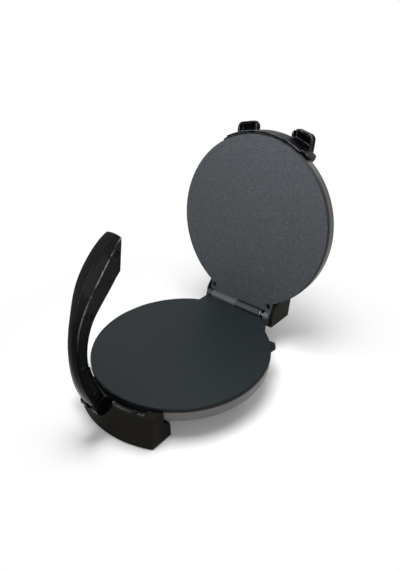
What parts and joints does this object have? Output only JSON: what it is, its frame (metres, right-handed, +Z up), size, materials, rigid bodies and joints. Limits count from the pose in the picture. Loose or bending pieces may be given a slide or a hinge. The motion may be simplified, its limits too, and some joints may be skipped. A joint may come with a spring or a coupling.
{
  "type": "electric flatbread press",
  "caption": "Electric press with round non-stick plates on a rear hinge, steel pans, black feet and a tall curved front lever that swings over to squeeze the lid shut.",
  "frame": {"origin": "on the table, under the axis of the round lower plate", "axes": "+X to the right as seen from the lever, +Y from the lever towards the hinge, +Z up from the table"},
  "size_m": [0.2, 0.3143, 0.2509],
  "materials": {
    "lower_nonstick": "satin dark grey non-stick coat with fine speckle",
    "upper_nonstick": "satin grey non-stick coat with fine speckle",
    "coil_steel": "dull tube",
    "reflector_aluminium": "bright sheet",
    "pan_steel": "satin steel",
    "screw_steel": "zinc plated",
    "dark_screw": "blackened",
    "ceramic": "white ceramic",
    "foot_plastic": "matte black",
    "bush_plastic": "matte black",
    "pad_rubber": "matte rubber",
    "bracket_steel": "bright steel",
    "pin_steel": "ground steel",
    "gloss_black": "glossy black",
    "housing_plastic": "satin black",
    "lens_plastic": "translucent red"
  },
  "bodies": {
    "base": {"lower_plate": "lower_nonstick", "lower_heating_coil": "coil_steel", "lower_reflector": "reflector_aluminium", "lower_pan": "pan_steel", "pan_screws": "screw_steel", "thermostat": "ceramic", "front_foot": "foot_plastic", "rear_foot": "foot_plastic", "rear_cover": "foot_plastic", "rear_cover_screws": "screw_steel", "foot_bolts": "screw_steel", "foot_nuts": "screw_steel", "foot_pads": "pad_rubber", "terminal_block": "ceramic", "cord_inlet": "bush_plastic", "pivot_bracket": "bracket_steel", "pivot_bracket_screws": "screw_steel", "pivot_pin": "pin_steel", "hinge_pin": "pin_steel", "hinge_clip": "pin_steel"},
    "lid": {"upper_plate": "upper_nonstick", "upper_heating_coil": "coil_steel", "upper_reflector": "reflector_aluminium", "upper_shell": "pan_steel", "shell_screws": "screw_steel", "thermal_fuse": "ceramic", "lid_front_bracket": "gloss_black", "front_bracket_screws": "dark_screw", "lid_rear_bracket": "housing_plastic", "rear_bracket_screws": "screw_steel", "lamp_lenses": "lens_plastic"},
    "lever": {"lever_left_half": "gloss_black", "lever_right_half": "gloss_black", "lever_screws": "dark_screw"}
  },
  "joints": [
    {"name": "lid_hinge", "type": "hinge", "parent": "base", "child": "lid", "pos_m": [0, 0.1063, 0.0423], "axis": [1, 0, 0], "range_deg": [0, 100.3]},
    {"name": "lever_pivot", "type": "hinge", "parent": "base", "child": "lever", "pos_m": [0, -0.12, 0.046], "axis": [-1, 0, 0], "range_deg": [0, 44]}
  ]
}
